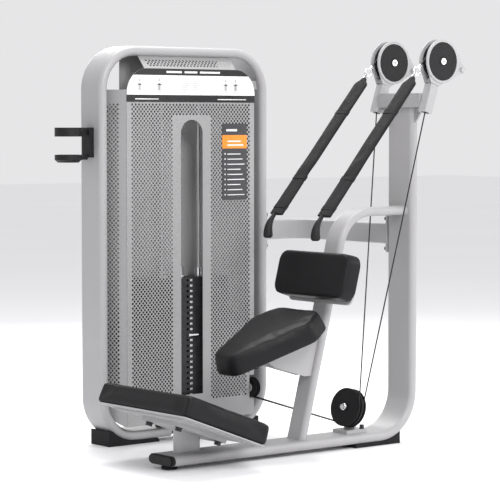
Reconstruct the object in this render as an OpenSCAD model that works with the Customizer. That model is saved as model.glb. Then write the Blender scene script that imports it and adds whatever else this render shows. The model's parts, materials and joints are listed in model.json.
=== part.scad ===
// Abdominal crunch machine: seat frame, footrest and a cable-driven weight tower.
// +Z is up. The user sits facing -X. The weight tower stands on the +Y side of the seat.
// Shapes are drawn in a layout frame whose Y = 0 is the seat's centre plane and whose X = 0 is the
// tower's centre. place() then moves the layout so that the origin is under the middle of the machine.

/* [Flat-oval tube] */
// Width of the main tube
tube_w = 140; // [136:1:144]
// Thickness of the main tube
tube_t = 36; // [34:1:38]
// Wall thickness of the tubes
tube_wall = 3; // [2:0.5:4]
// Height of the tube's underside above the floor
tube_clear = 16; // [14:1:18]

/* [Seat frame] */
// X of the base beam's front end, behind its cap
beam_front = -506; // [-510:1:-500]
// X of the back post's centre line
post_x = 628; // [624:1:632]
// Height of the back post
post_top = 1271; // [1265:1:1275]
// Lean of the seat upright and the backrest, degrees
upright_lean = 14.6; // [14:0.1:15]
// Height of the upright's horizontal arm
arm_z = 880; // [875:1:885]

/* [Pads] */
// Tilt of the seat, degrees
seat_tilt = 23; // [22:0.5:24]
// Length of the seat pad along its tilt
seat_len = 407; // [400:1:415]
// Thickness of the seat pad
seat_thick = 75; // [70:1:78]
// Width of the backrest pad
back_w = 400; // [390:1:410]
// Height of the backrest pad
back_h = 172; // [165:1:180]
// Thickness of the backrest pad
back_thick = 70; // [66:1:71]
// Tilt of the footrest, degrees
foot_tilt = 20.7; // [20:0.1:21]
// Length of the footrest pad along its tilt
foot_len = 385; // [380:1:390]
// Width of the footrest pad
foot_w = 530; // [520:1:540]
// Thickness of the footrest pad
foot_thick = 73; // [70:1:75]

/* [Weight tower] */
// Y of the tower's centre plane
tower_y = 600; // [598:1:602]
// Half the distance between the tower legs' centre lines
leg_x = 382; // [380:1:384]
// Height of the tower
tower_h = 1500; // [1495:1:1505]
// Radius of the tower's bends, at the tube's centre
tower_bend = 147; // [145:1:150]
// Y of the shroud's front panel
panel_y = 501; // [500:1:503]
// Half the width of the shroud's front panel
panel_half = 304; // [302:1:306]

/* [Weight stack] */
// Number of plates in the stack
plate_count = 23; // [23]
// Number of narrow plates at the top
narrow_count = 7; // [7]
// Number of plates above the selector pin, which the pin lifts
lifted_count = 11; // [11]
// Distance from one plate to the next
plate_pitch = 20.94; // [20.9:0.02:21]
// Height of the top of the stack
stack_top = 621.3; // [620:0.1:622]
// Y of the stack's centre
stack_y = 576; // [575:1:577]

/* [Pulleys and cables] */
// Diameter of the steel cable in its jacket
cable_d = 5; // [4:0.5:5]
// Radius of the large pulleys
big_r = 71.5; // [70:0.5:72]
// Radius of the small pulleys in the tower
small_r = 39; // [38:0.5:39]
// Distance of each handle's cable from the seat's centre plane
side_y = 135; // [134:1:136]
// Lean of the pulley stems, degrees
stem_lean = 18.3; // [18:0.1:18.5]

/* [Hidden] */
$fn = 48;

// Where the origin lies in the layout frame
origin_x = 94.6;
origin_y = 202.5;

silver = "#b9b7ba";
charcoal = "#2b2a2e";
black = "#151416";
chrome = "#d8d8da";

beam_z = tube_clear + tube_t / 2;
beam_top = tube_clear + tube_t;
post_bend = 162;
post_face = post_x - tube_t / 2;
slope = tan(upright_lean);
upright_w = 90;
upright_t = 32;
upright_base_x = 99;
upright_base_z = 42;
upright_bend = 150;
panel_t = 2;
panel_bottom = 74;
panel_top = 1416;
panel_corner = 95;
placard_bottom = 1291;
slot_half = 52;
slot_bottom = 175;
slot_top = 1224;
notch_x = 281;
notch_low = 136;
notch_high = 229;
leg_inner = leg_x - tube_t / 2;
leg_outer = leg_x + tube_t / 2;
bar_under = tower_h - tube_t;
base_gap = 83;
board_h = 3;
tray_h = 9;
foot_ring_h = 14;
foot_plate_x = 217.5;
beam_bend = 80;
beam_low = 749;
beam_high = 829;
side_top = 1336;
flare_x = leg_inner - 1.2;
flare_y = 598;
guide_x = 88;
guide_d = 15;
guide_bore = 24;
rod_d = 25;
rod_bore = 28;
pin_d = 10;
pin_bore = 10.6;
plate_d = 96;
plate_h = 20.5;
narrow_w = 390;
wide_w = 514;
pin_plate = lifted_count - 1;
stack_bottom = stack_top - plate_count * plate_pitch;
anchor_top = 660;
pin_z = stack_top - pin_plate * plate_pitch - plate_h / 2;

// Pulleys. A pulley's own frame has x level in its plane, y up in its plane and z along its axle.
axle_d = 12;
axle_bore = 12.12;
big_w = 25;
big_groove = 57.5;
big_ride = 60.3;
low_r = 72.6;
low_w = 18;
low_groove = 59.2;
low_ride = 62;
low_step = 9.5;
low_centre = [354.5, 0, 146];
low_tilt = 13;
tower_heading = 95.83;
small_w = 22;
small_ride = 34;
small_groove = 31.2;
small_step = 5;
exit_centre = [302, 514, 178];
top_heading = 169.9;
corner_centre = [258.5, 530, 1360];
centre_centre = [33.5, 570, 1360];
corner_boss = 13;
top_centre = [686, 0, 1443];
lead_angle = 139.2;
tail_angle = -77.1;
leave_angle = 276.6;
strap_angle = 40.8;
strap_dir = [-sin(strap_angle), 0, -cos(strap_angle)];
stub_len = 74;
strap_start = 138;
strap_len = 664;
strap_w = 72;
strap_t = 14;
stem_dir = [sin(stem_lean), 0, cos(stem_lean)];
stem_base = [615, 0, 1253];
stem_len = 108.5;
stem_w = 40;
housing_r = 82;
lip_r = 72.5;
housing_in = 15;
housing_t = 4;
lug_pos = [787, 1413];

function side(s) = [0, s * side_y, 0];
function xz(a) = [cos(a), 0, sin(a)];
function strap_point(s, d) = top_centre + side(s) + big_ride * xz(lead_angle) + d * strap_dir;
function stem_point(s, d) = stem_base + side(s) + d * stem_dir;

// A point given in a pulley's own frame, with heading h and tilt t, in the layout frame
function in_pulley(c, h, t, p) = c + p[0] * [cos(h), sin(h), 0]
    + p[1] * [sin(t) * sin(h), -sin(t) * cos(h), cos(t)]
    + p[2] * [cos(t) * sin(h), -cos(t) * cos(h), -sin(t)];
function rim(r, a, z) = [r * cos(a), r * sin(a), z];

module place() {
    translate([-origin_x, -origin_y, 0]) children();
}

module mirrored_x() {
    children();
    mirror([1, 0, 0]) children();
}

module oval(w, t) {
    square([w - t, t], center = true);
    for (s = [-1, 1]) translate([s * (w - t) / 2, 0]) circle(d = t);
}

// The cross-section of a hollow flat-oval tube
module tube(w, t) {
    difference() {
        oval(w, t);
        oval(w - 2 * tube_wall, t - 2 * tube_wall);
    }
}

module rounded(w, h, r) {
    square([w - 2 * r, h], center = true);
    square([w, h - 2 * r], center = true);
    for (x = [-1, 1], y = [-1, 1]) translate([x * (w / 2 - r), y * (h / 2 - r)]) circle(r = r);
}

// The outline's x runs along Y, and its y runs along Z
module bar_x(x0, x1, z) {
    translate([x0, 0, z]) rotate([90, 0, 90]) linear_extrude(x1 - x0) children();
}

// A bend in the XZ plane, from angle a0 to a1 about (x, z)
module bend_xz(x, z, r, a0, a1) {
    translate([x, 0, z]) rotate([90, 0, 0]) rotate([0, 0, a0])
        rotate_extrude(angle = a1 - a0) translate([r, 0]) children();
}

// An outline in the XZ plane, extruded evenly either side of Y = y
module slab(y, t) {
    translate([0, y + t / 2, 0]) rotate([90, 0, 0]) linear_extrude(t) children();
}

module rod(p, q, d) {
    v = q - p;
    translate(p) rotate([0, acos(v[2] / norm(v)), atan2(v[1], v[0])]) cylinder(d = d, h = norm(v));
}

module pulley_frame(c, h, t) {
    translate(c) rotate([0, 0, h]) rotate([90 + t, 0, 0]) children();
}

// A grooved wheel with one groove for each entry of grooves, about Z
module wheel(r, w, groove_r, grooves, bore) {
    half = cable_d / 2 + 1.1;
    rotate_extrude($fn = 96) difference() {
        translate([bore / 2, -w / 2]) square([r - bore / 2, w]);
        for (z = grooves) {
            translate([groove_r + half, z]) circle(r = half, $fn = 24);
            translate([groove_r + half, z]) polygon([[0, -half], [r - groove_r, -half - 1.6],
                [r - groove_r, half + 1.6], [0, half]]);
        }
    }
}

module hex_bolt(d, h) {
    cylinder(d = d, h = h, $fn = 6);
    translate([0, 0, -1.5]) cylinder(d = d * 1.15, h = 1.5);
}

// Seat frame ------------------------------------------------------------------------------------

module main_frame() {
    color(silver) {
        bar_x(beam_front, post_x - post_bend, beam_z) tube(tube_w, tube_t);
        bend_xz(post_x - post_bend, beam_z + post_bend, post_bend, -90, 0) rotate(90) tube(tube_w, tube_t);
        translate([post_x, 0, beam_z + post_bend])
            linear_extrude(post_top - beam_z - post_bend) rotate(90) tube(tube_w, tube_t);
    }
}

module front_end_cap() {
    color(black) {
        bar_x(beam_front - 12, beam_front, beam_z) oval(tube_w, tube_t);
        bar_x(beam_front - 18, beam_front - 12, beam_z) oval(tube_w - 8, tube_t - 8);
    }
}

module front_foot() {
    color(black) translate([-483, 0, 0]) {
        cylinder(r = 28, h = 9);
        translate([0, 0, 9]) cylinder(r = 21, h = tube_clear - 9);
    }
}

module rear_foot() {
    color(black) slab(0, 118) difference() {
        polygon([[339, 0], [564, 0], [564, 58], [466, 40], [466, tube_clear], [345, tube_clear]]);
        translate([post_x - post_bend, beam_z + post_bend]) circle(r = post_bend + tube_t / 2, $fn = 96);
    }
}

module seat_upright() {
    start = 48;
    x0 = upright_base_x + (start - upright_base_z) * slope;
    corner_x = upright_base_x + (arm_z - upright_base_z) * slope;
    reach = upright_bend * tan((90 - upright_lean) / 2);
    rise = arm_z - reach * cos(upright_lean);
    color(silver) difference() {
        union() {
            translate([x0, 0, start]) rotate([0, upright_lean, 0])
                linear_extrude((rise - start) / cos(upright_lean)) rotate(90) tube(upright_w, upright_t);
            bend_xz(corner_x + reach, arm_z - upright_bend, upright_bend, 90, 180 - upright_lean)
                rotate(90) tube(upright_w, upright_t);
            bar_x(corner_x + reach, post_face, arm_z) tube(upright_w, upright_t);
        }
        translate([0, -100, 0]) cube([300, 200, beam_top]);
    }
}

// The seat's own frame: x along the tilt from the pad's front edge, z out of its top
module seat_frame() {
    translate([-255, 0, 375]) rotate([0, -seat_tilt, 0]) children();
}

module seat_outline() {
    hull() for (s = [-1, 1]) {
        translate([42, s * 28]) circle(r = 42, $fn = 32);
        translate([300, s * 105]) circle(r = 60, $fn = 32);
        translate([seat_len - 48, s * 88]) circle(r = 48, $fn = 32);
    }
}

module seat_bracket() {
    color(silver) for (y = [-26, 26]) slab(y, 6)
        polygon([[-74, 361.4], [-26, 326], [118, 284], [145, 284], [194, 470], [160, 460.8]]);
}

module seat_base_plate() {
    color(silver) seat_frame() translate([0, 0, -seat_thick - 8]) linear_extrude(8) {
        translate([205, 0]) rounded(300, 104, 20);
        translate([300, 0]) rounded(110, 210, 20);
    }
}

module seat_pad() {
    color(charcoal) seat_frame() translate([0, 0, -seat_thick]) linear_extrude(seat_thick) seat_outline();
}

// The backrest's own frame: x into the pad from its front face, z up the lean
module back_frame() {
    translate([163, 0, 660]) rotate([0, upright_lean, 0]) children();
}

module backrest_plate() {
    face = (upright_base_x - 163 + (660 - upright_base_z) * slope) * cos(upright_lean) - upright_t / 2;
    color(silver) back_frame() translate([back_thick, 0, -13]) rotate([90, 0, 90])
        linear_extrude(face - back_thick) rounded(360, 166, 30);
}

module backrest_pad() {
    color(charcoal) back_frame() rotate([90, 0, 90]) linear_extrude(back_thick) rounded(back_w, back_h, 38);
}

// The footrest's own frame: x down the tilt from the pad's front edge, z out of its top
module foot_frame() {
    translate([-588, 0, 292]) rotate([0, foot_tilt, 0]) children();
}

module footrest_column() {
    color(silver) intersection() {
        translate([-406.5, 0, beam_top]) linear_extrude(150) tube(109, tube_t);
        foot_frame() translate([0, -100, -foot_thick - tray_h - 300]) cube([400, 200, 300]);
    }
}

module footrest_tray() {
    color(silver) foot_frame() translate([foot_len / 2, 0, -foot_thick]) {
        translate([0, 0, -board_h]) linear_extrude(board_h) rounded(foot_len - 8, foot_w - 8, 12);
        translate([0, 0, -tray_h]) linear_extrude(tray_h - board_h) rounded(foot_len - 82, foot_w - 128, 10);
    }
}

module footrest_frame() {
    color(silver) foot_frame() translate([foot_plate_x, 0, -foot_thick - tray_h - foot_ring_h])
        linear_extrude(foot_ring_h) difference() {
            rounded(235, 212, 10);
            translate([9, 0]) square([126, tube_t + 1], center = true);
        }
}

module footrest_pad() {
    color(charcoal) foot_frame() translate([foot_len / 2, 0, -foot_thick])
        linear_extrude(foot_thick) rounded(foot_len, foot_w, 14);
}

// Bolts of the footrest, the seat, the crossbeam, the lower pulleys' bracket and the tower's base
module frame_bolts() {
    color(black) {
        foot_frame() for (x = [-92, 92], y = [-86, 86])
            translate([foot_plate_x + x, y, -foot_thick - tray_h - foot_ring_h - 1.5])
                mirror([0, 0, 1]) hex_bolt(26, 12);
        seat_frame() for (x = [110, 320], y = [-40, 40])
            translate([x, y, -seat_thick - 9.5]) mirror([0, 0, 1]) hex_bolt(17, 8);
        for (y = [-34, 34], z = [728, 850])
            translate([leg_outer + 11.5, tower_y + y, z]) rotate([0, 90, 0]) hex_bolt(19, 9);
        for (z = [731, 846])
            translate([post_x - 6, tube_w / 2 + 9.5, z]) rotate([-90, 0, 0]) hex_bolt(15, 10);
        for (y = [-27, 27]) translate([398, y, beam_top + 15.5]) hex_bolt(18, 14);
        for (s = [-1, 1], y = [-56, 56])
            translate([s * (base_gap - 9.5), tower_y + y, beam_z]) rotate([0, -s * 90, 0]) hex_bolt(20, 9);
    }
}

// Weight tower ----------------------------------------------------------------------------------

module tower_loop() {
    low = beam_z + tower_bend;
    high = tower_h - tube_t / 2 - tower_bend;
    inner = leg_x - tower_bend;
    color(silver) translate([0, tower_y, 0]) {
        bar_x(-inner, inner, tower_h - tube_t / 2) tube(tube_w, tube_t);
        mirrored_x() {
            bar_x(base_gap, inner, beam_z) tube(tube_w, tube_t);
            bend_xz(inner, low, tower_bend, -90, 0) rotate(90) tube(tube_w, tube_t);
            translate([leg_x, 0, low]) linear_extrude(high - low) rotate(90) tube(tube_w, tube_t);
            bend_xz(inner, high, tower_bend, 0, 90) rotate(90) tube(tube_w, tube_t);
        }
    }
}

// The clear space inside the tower's loop, seen from the front, less a gap all round
module loop_inside(gap) {
    inner = leg_x - tower_bend;
    low = beam_z + tower_bend;
    high = tower_h - tube_t / 2 - tower_bend;
    r = tower_bend - tube_t / 2 - gap;
    translate([-inner - r, low]) square([2 * (inner + r), high - low]);
    translate([-inner, low - r]) square([2 * inner, high - low + 2 * r]);
    for (x = [-inner, inner], z = [low, high]) translate([x, z]) circle(r = r, $fn = 96);
}

module tower_feet() {
    inner = leg_x - tower_bend;
    color(black) mirrored_x() slab(tower_y, 118) difference() {
        polygon([[126, 0], [360, 0], [360, 58], [inner, 40], [inner, tube_clear], [132, tube_clear]]);
        translate([inner, beam_z + tower_bend]) circle(r = tower_bend + tube_t / 2, $fn = 96);
    }
}

module tower_base_joint() {
    color(silver) {
        mirrored_x() bar_x(base_gap - 8, base_gap, beam_z) translate([tower_y, 0]) oval(tube_w, tube_t);
        translate([-base_gap + 8, tower_y - 38, beam_top - 32]) cube([2 * base_gap - 16, 76, 32]);
    }
}

module beam_outline(inset) {
    rounded(30 - 2 * inset, beam_high - beam_low - 2 * inset, 8 - inset);
}

module beam_section() {
    difference() {
        beam_outline(0);
        beam_outline(tube_wall);
    }
}

module crossbeam() {
    mid = (beam_low + beam_high) / 2;
    turn_x = post_x - beam_bend;
    turn_y = tower_y - beam_bend;
    start = leg_outer + 10;
    color(silver) {
        translate([start, tower_y, mid]) rotate([90, 0, 90]) linear_extrude(turn_x - start) beam_section();
        translate([turn_x, turn_y, mid]) rotate_extrude(angle = 90) translate([beam_bend, 0]) beam_section();
        translate([post_x, turn_y, mid]) rotate([90, 0, 0])
            linear_extrude(turn_y - tube_w / 2 - 8) beam_section();
        translate([leg_outer, tower_y, mid]) rotate([90, 0, 90]) linear_extrude(10) difference() {
            translate([0, -4]) rounded(104, 150, 12);
            beam_outline(tube_wall);
        }
        translate([post_x, tube_w / 2 + 8, mid]) rotate([90, 0, 0]) linear_extrude(8)
            rounded(32, 146, 8);
    }
}

// The shroud's front outline, with round top corners, cut off below z = low
module panel_outline(low) {
    shoulder = panel_top - panel_corner;
    intersection() {
        union() {
            translate([-panel_half, panel_bottom]) square([2 * panel_half, shoulder - panel_bottom]);
            translate([-panel_half + panel_corner, panel_bottom])
                square([2 * (panel_half - panel_corner), panel_top - panel_bottom]);
            for (s = [-1, 1]) translate([s * (panel_half - panel_corner), shoulder])
                circle(r = panel_corner, $fn = 96);
        }
        translate([-panel_half, low]) square([2 * panel_half, panel_top - low]);
    }
}

module slot_outline() {
    translate([-slot_half, slot_bottom]) square([2 * slot_half, slot_top - slot_half - slot_bottom]);
    translate([0, slot_top - slot_half]) circle(r = slot_half);
}

module front_panel() {
    color(silver) slab(panel_y, panel_t) difference() {
        panel_outline(panel_bottom);
        slot_outline();
        translate([notch_x, notch_low]) square([60, notch_high - notch_low]);
    }
}

module side_sheet(low, high) {
    intersection() {
        translate([0, 0, low]) linear_extrude(high - low)
            polygon([[panel_half - 1, panel_y + 1.2], [panel_half + 1, panel_y + 1.2],
                [flare_x, flare_y], [flare_x - 2, flare_y]]);
        slab(550, 200) loop_inside(0.4);
    }
}

module left_side_panel() {
    color(silver) mirror([1, 0, 0]) side_sheet(panel_bottom, side_top);
}

module right_side_panel() {
    color(silver) difference() {
        side_sheet(panel_bottom, side_top);
        translate([notch_x, panel_y - 5, notch_low]) cube([50, 40, notch_high - notch_low]);
        translate([300, 552, exit_centre[2] - 21]) cube([70, 30, 42]);
    }
}

module top_panel() {
    color(silver) translate([-218, 0, 0]) rotate([90, 0, 90]) linear_extrude(436)
        polygon([[panel_y + 1.5, panel_top - 3], [panel_y + 1.5, panel_top - 0.5],
            [panel_y + 44, bar_under], [panel_y + 47, bar_under]]);
}

module rear_panel() {
    color(silver) slab(644, panel_t) {
        translate([-flare_x, 175]) square([2 * flare_x, 1161]);
        translate([-235, 1330]) square([470, bar_under - 1330]);
    }
}

module header_placard() {
    color("#ececec") slab(panel_y - panel_t / 2 - 1.5, 3) panel_outline(placard_bottom);
}

module instruction_plate() {
    color("#3a3a3d") slab(panel_y - panel_t / 2 - 1.25, 2.5)
        translate([206, 1062.5]) rounded(120, 293, 6);
}

module bottle_holder() {
    color(black) translate([-498, tower_y, 0]) {
        translate([0, 0, 1162]) difference() {
            cylinder(r = 50, h = 33);
            translate([0, 0, -1]) cylinder(r = 44, h = 35);
        }
        translate([0, 0, 1066]) difference() {
            union() {
                translate([0, 0, 10]) cylinder(r = 50, h = 19);
                cylinder(r1 = 39, r2 = 50, h = 10);
            }
            translate([0, 0, 14]) cylinder(r = 44, h = 16);
        }
        translate([-leg_outer + 498 - 20, -25, 1084]) cube([20, 50, 111]);
        for (z = [1166, 1076]) translate([45, -12, z]) cube([35, 24, 18]);
    }
}

// Weight stack ----------------------------------------------------------------------------------

module guide_rods() {
    color(chrome) for (s = [-1, 1]) translate([s * guide_x, stack_y, beam_top])
        cylinder(d = guide_d, h = bar_under - beam_top);
}

module stack_bumpers() {
    color(black) for (s = [-1, 1]) translate([s * guide_x, stack_y, beam_top]) difference() {
        union() {
            cylinder(r = 26, h = 46);
            translate([0, 0, 46]) cylinder(r = 33, h = stack_bottom - beam_top - 46);
        }
        cylinder(d = guide_bore, h = 200);
    }
}

module plate(i) {
    w = i < narrow_count ? narrow_w : wide_w;
    translate([0, stack_y, stack_top - i * plate_pitch - plate_h]) difference() {
        translate([-w / 2, -plate_d / 2, 0]) cube([w, plate_d, plate_h]);
        for (s = [-1, 1]) translate([s * guide_x, 0, -1]) cylinder(d = guide_bore, h = plate_h + 2);
        translate([0, 0, -1]) cylinder(d = rod_bore, h = plate_h + 2);
        translate([0, 0, plate_h / 2]) rotate([90, 0, 0]) cylinder(d = pin_bore, h = plate_d);
    }
}

module head_plate() {
    color(black) plate(0);
}

module lifted_plates() {
    color(black) for (i = [1 : lifted_count - 1]) plate(i);
}

module resting_plates() {
    color(black) for (i = [lifted_count : plate_count - 1]) plate(i);
}

module selector_rod() {
    color(chrome) difference() {
        translate([0, stack_y, stack_bottom + 6]) {
            cylinder(d = rod_d, h = stack_top - stack_bottom - 5);
            translate([0, 0, stack_top - stack_bottom - 5.6]) cylinder(d = 44, h = 8);
            translate([0, 0, stack_top - stack_bottom - 5]) cylinder(d = 26, h = anchor_top - stack_top - 1);
        }
        for (i = [0 : plate_count - 1])
            translate([0, stack_y, stack_top - i * plate_pitch - plate_h / 2]) rotate([90, 0, 0])
                cylinder(d = pin_bore, h = 20);
    }
}

module guide_bushings() {
    color(chrome) for (s = [-1, 1]) translate([s * guide_x, stack_y, stack_top]) difference() {
        union() {
            cylinder(r = 21, h = 5);
            cylinder(r = 16.5, h = 34);
        }
        translate([0, 0, -1]) cylinder(d = guide_d + 0.12, h = 40);
    }
}

module selector_pin() {
    front = stack_y - plate_d / 2;
    color(chrome) {
        translate([0, stack_y - 2, pin_z]) rotate([90, 0, 0]) cylinder(d = pin_d, h = plate_d / 2 + 12);
        translate([-5, front - 10, pin_z]) rotate([0, 90, 0]) cylinder(d = pin_d, h = 46);
        translate([41, front - 10, pin_z]) sphere(d = pin_d);
    }
}

// Pulleys ---------------------------------------------------------------------------------------

module top_pulley(s) {
    color(black) translate(top_centre + side(s)) rotate([90, 0, 0])
        wheel(big_r, big_w, big_groove, [0], axle_bore);
}

module left_top_pulley() {
    top_pulley(-1);
}

module right_top_pulley() {
    top_pulley(1);
}

module left_lower_pulley() {
    color(black) pulley_frame(low_centre, tower_heading, low_tilt) translate([0, 0, low_step])
        wheel(low_r, low_w, low_groove, [0], axle_bore);
}

module right_lower_pulley() {
    color(black) pulley_frame(low_centre, tower_heading, low_tilt) translate([0, 0, -low_step])
        wheel(low_r, low_w, low_groove, [0], axle_bore);
}

module small_pulley() {
    color(black) wheel(small_r, small_w, small_groove, [-small_step, small_step], axle_bore);
}

module tower_exit_pulley() {
    pulley_frame(exit_centre, tower_heading, 0) small_pulley();
}

module tower_corner_pulley() {
    pulley_frame(corner_centre, top_heading, 0) small_pulley();
}

module tower_centre_pulley() {
    pulley_frame(centre_centre, top_heading, 0) small_pulley();
}

module pulley_axles() {
    color(black) {
        pulley_frame(low_centre, tower_heading, low_tilt) {
            translate([0, 0, -28]) cylinder(d = axle_d, h = 50);
            translate([0, 0, -28]) mirror([0, 0, 1]) hex_bolt(20, 8);
            translate([0, 0, -28]) cylinder(d = 26, h = 8);
        }
        for (c = [[exit_centre, tower_heading], [centre_centre, top_heading]]) pulley_frame(c[0], c[1], 0) {
            translate([0, 0, -20]) cylinder(d = axle_d, h = 40);
            for (z = [-21.5, 17.5]) translate([0, 0, z]) cylinder(d = 20, h = 4, $fn = 6);
        }
        pulley_frame(corner_centre, top_heading, 0) {
            translate([0, 0, -20]) cylinder(d = axle_d, h = 20 + corner_boss);
            translate([0, 0, -25]) cylinder(d = 20, h = 7, $fn = 6);
        }
    }
}

module lower_pulley_bracket() {
    drop = (low_centre[2] - beam_top) / cos(low_tilt) + 12;
    color(silver) intersection() {
        union() {
            pulley_frame(low_centre, tower_heading, low_tilt) translate([0, 0, 22]) linear_extrude(8) {
                circle(r = 26);
                translate([-26, -drop]) square([52, drop]);
            }
            translate([312, -40, beam_top]) cube([100, 80, 14]);
        }
        translate([0, -100, beam_top]) cube([600, 200, 300]);
    }
}

module cheek(c, h, z, reach, turn) {
    pulley_frame(c, h, 0) translate([0, 0, z]) linear_extrude(4) difference() {
        union() {
            circle(r = 17);
            rotate(turn) translate([0, -17]) square([reach, 34]);
        }
        circle(d = axle_d + 0.4);
    }
}

module tower_pulley_brackets() {
    arm_x = 250;
    exit_x = 275;
    color(silver) intersection() {
        union() {
            for (z = [-17, 13]) {
                cheek(centre_centre, top_heading, z, bar_under - centre_centre[2], 90);
                cheek(exit_centre, tower_heading, z, 64, 0);
            }
            translate([12, 548, bar_under - 6]) cube([44, 54, 6]);
            pulley_frame(corner_centre, top_heading, 0) translate([0, 0, corner_boss]) cylinder(r = 17, h = 32);
            translate([arm_x, 556, corner_centre[2] - 17]) cube([leg_inner - arm_x, 20, 34]);
            translate([exit_x, 557, exit_centre[2] - 16.5]) cube([leg_inner - exit_x, 20, 33]);
        }
        slab(550, 200) loop_inside(0.05);
    }
}

module top_crossbar() {
    inner = side_y - stem_w / 2;
    color(silver) {
        translate([post_x - 26, -inner, post_top]) cube([52, 2 * inner, 53]);
        for (s = [-1, 1]) crossbar_gusset(s);
    }
}

// A triangular gusset between the crossbar's end and the post
module crossbar_gusset(s) {
    translate([post_x - 4, 0, 0]) rotate([90, 0, 90]) linear_extrude(8)
        polygon([[s * tube_w / 2, post_top - 60], [s * (side_y - stem_w / 2), post_top], [s * tube_w / 2, post_top]]);
}

module pulley_stems() {
    color(silver) for (s = [-1, 1]) translate(stem_base + side(s)) rotate([0, stem_lean, 0]) difference() {
        translate([0, 0, -2]) linear_extrude(stem_len) difference() {
            rounded(stem_w, stem_w, 5);
            circle(d = 30);
        }
        translate([0, 0, stem_len - 24]) cylinder(d = 34.4, h = 30);
    }
}

module housing_outline(s) {
    foot = stem_point(s, stem_len + 3);
    difference() {
        union() {
            translate([top_centre[0], top_centre[2]]) circle(r = housing_r, $fn = 96);
            polygon([[607, 1420], [foot[0] - 21, foot[2] + 3], [foot[0] + 19, foot[2] - 10], [700, 1366],
                [780, 1398], [top_centre[0], top_centre[2]]]);
            translate(lug_pos) circle(r = 16);
            polygon([[748, 1500], [801, 1421], [781, 1398], [735, 1382]]);
        }
        translate([top_centre[0], top_centre[2]]) circle(d = axle_d - 0.2);
    }
}

module pulley_housing(s) {
    color(silver) {
        for (y = [-housing_in - housing_t / 2, housing_in + housing_t / 2])
            slab(s * side_y + y, housing_t) housing_outline(s);
        translate(stem_point(s, stem_len - 22)) rotate([0, stem_lean, 0]) difference() {
            union() {
                cylinder(d = 34, h = 26);
                translate([-20, -housing_in - 0.5, 24]) cube([40, 2 * housing_in + 1, 16]);
            }
            translate([0, 0, -1]) cylinder(d = 12, h = 50);
        }
        translate(top_centre + side(s)) rotate([90, 0, 0]) {
            translate([0, 0, -24]) cylinder(d = axle_d, h = 48);
            for (z = [-26, 19]) translate([0, 0, z]) cylinder(d = 24, h = 7);
            for (z = [-22, 19]) translate([0, 0, z]) linear_extrude(3) difference() {
                circle(r = housing_r, $fn = 96);
                circle(r = lip_r, $fn = 96);
            }
        }
        translate([lug_pos[0], s * side_y, lug_pos[1]]) rotate([90, 0, 0]) {
            translate([0, 0, -25]) cylinder(d = 12, h = 50);
            for (z = [-26, 19]) translate([0, 0, z]) cylinder(d = 19, h = 7, $fn = 6);
        }
    }
}

module left_pulley_housing() {
    pulley_housing(-1);
}

module right_pulley_housing() {
    pulley_housing(1);
}

// Cables ----------------------------------------------------------------------------------------

module cable_bend(r, a0, a1, z) {
    translate([0, 0, z]) rotate([0, 0, a0]) rotate_extrude(angle = a1 - a0, $fn = 96)
        translate([r, 0]) circle(d = cable_d, $fn = 12);
}

module cable_run(p, q) {
    rod(p, q, cable_d, $fn = 12);
}

// Over the top pulley and down to the guide bush in the swivel
module cable_top(s) {
    hub = top_centre + side(s);
    color(black) {
        translate(hub) rotate([90, 0, 0]) cable_bend(big_ride, tail_angle, lead_angle, 0);
        cable_run(strap_point(s, 0), strap_point(s, stub_len));
        cable_run(hub + big_ride * xz(tail_angle), stem_point(s, stem_len + 18));
        cable_run(stem_point(s, stem_len + 18), stem_point(s, stem_len - 23.8));
    }
}

module left_cable_top() {
    cable_top(-1);
}

module right_cable_top() {
    cable_top(1);
}

// From the stem, round the lower pulley, into the tower and over its two top pulleys
module drive_cable(s) {
    groove = -s * low_step;
    step = -s * small_step;
    meet_angle = s > 0 ? 171.5 : 185;
    mouth = stem_point(s, 0);
    color(black) {
        cable_run(stem_point(s, stem_len - 24), mouth);
        cable_run(mouth, in_pulley(low_centre, tower_heading, low_tilt, rim(low_ride, meet_angle, groove)));
        pulley_frame(low_centre, tower_heading, low_tilt) cable_bend(low_ride, meet_angle, leave_angle, groove);
        cable_run(in_pulley(low_centre, tower_heading, low_tilt, rim(low_ride, leave_angle, groove)),
            in_pulley(exit_centre, tower_heading, 0, rim(small_ride, leave_angle, step)));
        pulley_frame(exit_centre, tower_heading, 0) cable_bend(small_ride, leave_angle, 360, step);
        cable_run(in_pulley(exit_centre, tower_heading, 0, rim(small_ride, 0, step)),
            in_pulley(corner_centre, top_heading, 0, rim(small_ride, 180, step)));
        pulley_frame(corner_centre, top_heading, 0) cable_bend(small_ride, 90, 180, step);
        cable_run(in_pulley(corner_centre, top_heading, 0, rim(small_ride, 90, step)),
            in_pulley(centre_centre, top_heading, 0, rim(small_ride, 90, step)));
        pulley_frame(centre_centre, top_heading, 0) cable_bend(small_ride, 0, 90, step);
    }
}

module drive_cables() {
    for (s = [-1, 1]) drive_cable(s);
}

module stack_cable() {
    color(black) for (s = [-1, 1]) {
        top = in_pulley(centre_centre, top_heading, 0, rim(small_ride, 0, s * small_step));
        cable_run([top[0], top[1], anchor_top], top - [0, 0, 0.2]);
    }
}

// Straps and handles ----------------------------------------------------------------------------

// A frame on the strap's line, d from the top pulley, with z along the pull
module strap_frame(s, d) {
    translate(strap_point(s, d)) rotate([0, 180 + strap_angle, 0]) children();
}

module strap_clip(s) {
    color(chrome) strap_frame(s, stub_len) {
        cylinder(d = 14, h = 14);
        translate([0, 0, 30]) rotate([90, 0, 0]) rotate_extrude() translate([16, 0]) circle(d = 7, $fn = 24);
        translate([0, 0, 49]) rotate([0, 90, 0]) rotate_extrude() translate([10, 0]) circle(d = 6, $fn = 24);
    }
}

module left_strap_clip() {
    strap_clip(-1);
}

module right_strap_clip() {
    strap_clip(1);
}

module strap(s) {
    color(black) strap_frame(s, strap_start) linear_extrude(strap_len) rotate(90) oval(strap_w, strap_t);
}

module left_strap() {
    strap(-1);
}

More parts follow.
